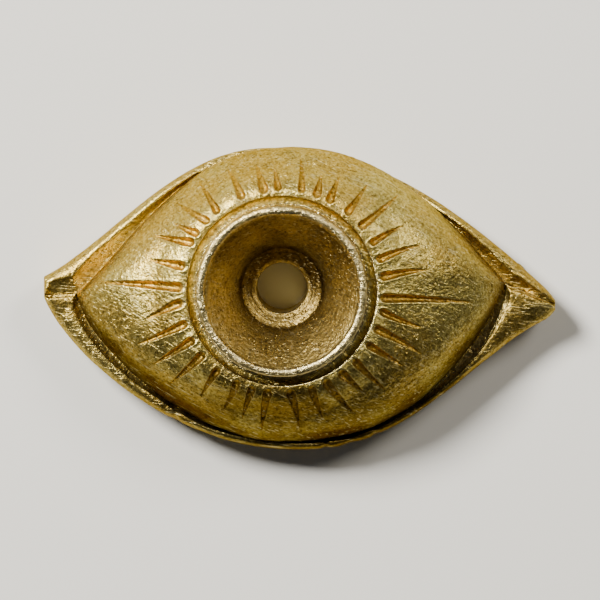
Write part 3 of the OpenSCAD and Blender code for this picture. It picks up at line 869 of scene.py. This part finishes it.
# brass with its own colours and relief; every material places the same three groups
def brass(name, look):
    material = bpy.data.materials.new(name)
    material.use_nodes = True
    t = material.node_tree
    shader = t.nodes["Principled BSDF"]
    where = node(t, "ShaderNodeTexCoord").outputs["Object"]
    cast = node(t, "ShaderNodeGroup", node_tree=grain)
    rubbedAndShaded = node(t, "ShaderNodeGroup", node_tree=patinaAndShade)
    lines = node(t, "ShaderNodeGroup", node_tree=scratches)
    t.links.new(where, cast.inputs["Vector"])
    t.links.new(where, rubbedAndShaded.inputs["Vector"])
    t.links.new(where, lines.inputs["Vector"])
    lines.inputs["Turn"].default_value = look["turn"]
    for key in ("Fine", "Pits", "Lumps"):
        cast.inputs[key].default_value = look[key.lower()]
    for key in ("Hollow", "Edge", "Stroke", "Dull"):
        wornAndLit = node(t, "ShaderNodeAttribute", attribute_name=key.lower())
        t.links.new(wornAndLit.outputs["Fac"], rubbedAndShaded.inputs[key])
    t.links.new(cast.outputs["Pit"], rubbedAndShaded.inputs["Pit"])
    for key in ("Face", "Gold", "Pale", "Dark"):
        rubbedAndShaded.inputs[key].default_value = (*look[key.lower()], 1)
    rubbedAndShaded.inputs["Stain"].default_value = look["stain"]
    scratched = maths(t, "MULTIPLY", lines.outputs["Mask"], look["scratch"])
    colour = blendColours(t, scratched, rubbedAndShaded.outputs["Colour"], (*look["pale"], 1))
    t.links.new(colour, shader.inputs["Base Color"])
    t.links.new(rubbedAndShaded.outputs["Roughness"], shader.inputs["Roughness"])
    height = maths(t, "SUBTRACT", cast.outputs["Height"], maths(t, "MULTIPLY", lines.outputs["Mask"], 0.35))
    bump = node(t, "ShaderNodeBump", {
        "Height": height, "Strength": look["bump"], "Distance": look["relief"] * mm})
    t.links.new(bump.outputs["Normal"], shader.inputs["Normal"])
    shader.inputs["Metallic"].default_value = 1.0
    shader.inputs["Specular Tint"].default_value = (*look["grazing"], 1)
    print("mixed", name)
    return material


# colours, then strengths of the relief, stains and scratches, the turn of the scratches, the tint of
# grazing light and the depth of the relief in mm
castBrass = {
    "face": (0.56, 0.45, 0.12), "gold": (0.56, 0.34, 0.045), "pale": (0.9, 0.8, 0.42),
    "dark": (0.05, 0.026, 0.005), "fine": 1.0, "pits": 0.5, "lumps": 0.8, "stain": 0.75,
    "scratch": 0.3, "bump": 0.85, "turn": (0, 0, 0.5),
    "grazing": (0.6, 0.48, 0.28), "relief": 0.09}
lidBrass = dict(castBrass, face=(0.55, 0.43, 0.12), stain=0.6, turn=(0, 0, 0.1))
bowlBrass = dict(castBrass, face=(0.58, 0.46, 0.17), gold=(0.53, 0.38, 0.11), pale=(0.88, 0.78, 0.47),
                 pits=0.9, stain=0.7, scratch=0.25, turn=(0, 1.5, 0.3))
backBrass = dict(castBrass, face=(0.34, 0.25, 0.09), stain=1.0, scratch=0.5, turn=(0, 0, 0.35))
nutBrass = dict(castBrass, face=(0.44, 0.32, 0.11), pits=0.2, lumps=0.2, scratch=0.5, turn=(0, 0, 0.9))

eyeDome = buildDome()
eyeDome.data.materials.append(brass("domeBrass", castBrass))
upperLid = buildLid("upperLid", "upper", "upper_lid")
lowerLid = buildLid("lowerLid", "lower", "lower_lid")
rivetHeads = buildRivets()
lidMetal = brass("lidBrass", lidBrass)
for piece in (upperLid, lowerLid, rivetHeads):
    piece.data.materials.append(lidMetal)
irisCup = buildCup()
irisCup.data.materials.append(brass("bowlBrass", bowlBrass))
backPlate = buildPlate()
backPlate.data.materials.append(brass("backBrass", backBrass))
ringNut = buildNut()
ringNut.data.materials.append(brass("nutBrass", nutBrass))

studio = {
    "floor": (0.72, 0.71, 0.68),
    "floorRough": 0.9,
    "floorSize": 1.2,
    "floorDrop": 0.0004,  # under the back, clear of the rivet heads
    "sensor": 36,
    "lens": 520,
    "distance": 0.9,
    "tilt": 3.5,  # degrees of the camera towards +Y
    "aim": (0.0019, -0.00084),
    "keyBox": ((-0.38, 0.36, 0.56), 0.24, 15.5, (1, 0.97, 0.9)),  # place, size, watts and colour
    "sideBox": ((0.42, 0.4, 0.54), 0.26, 3.2, (1, 0.94, 0.82)),
    "air": (0.9, 0.93, 1),
    "airStrength": 0.05,
}


# plain pale floor just under the back of the ornament
def buildFloor():
    mesh = bpy.data.meshes.new("floor")
    s, z = studio["floorSize"], -studio["floorDrop"]
    mesh.from_pydata([(-s, -s, z), (s, -s, z), (s, s, z), (-s, s, z)], [], [(0, 1, 2, 3)])
    floor = bpy.data.objects.new("floor", mesh)
    bpy.context.scene.collection.objects.link(floor)
    paint = bpy.data.materials.new("floorPaper")
    paint.use_nodes = True
    paint.node_tree.nodes["Principled BSDF"].inputs["Base Color"].default_value = (*studio["floor"], 1)
    paint.node_tree.nodes["Principled BSDF"].inputs["Roughness"].default_value = studio["floorRough"]
    mesh.materials.append(paint)


# soft box at a place, looking at the middle of the eye
def softBox(name, place, size, watts, colour):
    light = bpy.data.lights.new(name, "AREA")
    light.shape, light.size, light.energy, light.color = "DISK", size, watts, colour
    lamp = bpy.data.objects.new(name, light)
    lamp.location = place
    lamp.rotation_euler = (-lamp.location).to_track_quat("-Z", "Y").to_euler()
    bpy.context.scene.collection.objects.link(lamp)


buildFloor()
for name in ("keyBox", "sideBox"):
    softBox(name, *studio[name])
world = bpy.data.worlds.new("studioAir")
world.use_nodes = True
world.node_tree.nodes["Background"].inputs["Color"].default_value = (*studio["air"], 1)
world.node_tree.nodes["Background"].inputs["Strength"].default_value = studio["airStrength"]
bpy.context.scene.world = world

# camera nearly overhead, leaning a little towards the top edge
lean = math.radians(studio["tilt"])
aimX, aimY = studio["aim"]
camera = bpy.data.objects.new("camera", bpy.data.cameras.new("camera"))
camera.data.sensor_width, camera.data.lens = studio["sensor"], studio["lens"]
camera.rotation_euler = (-lean, 0, 0)
middle = cupHigh.z
camera.location = (aimX, aimY * math.cos(lean) + studio["distance"] * math.sin(lean),
                   middle - aimY * math.sin(lean) + studio["distance"] * math.cos(lean))
bpy.context.scene.collection.objects.link(camera)
bpy.context.scene.camera = camera
print("studio set")
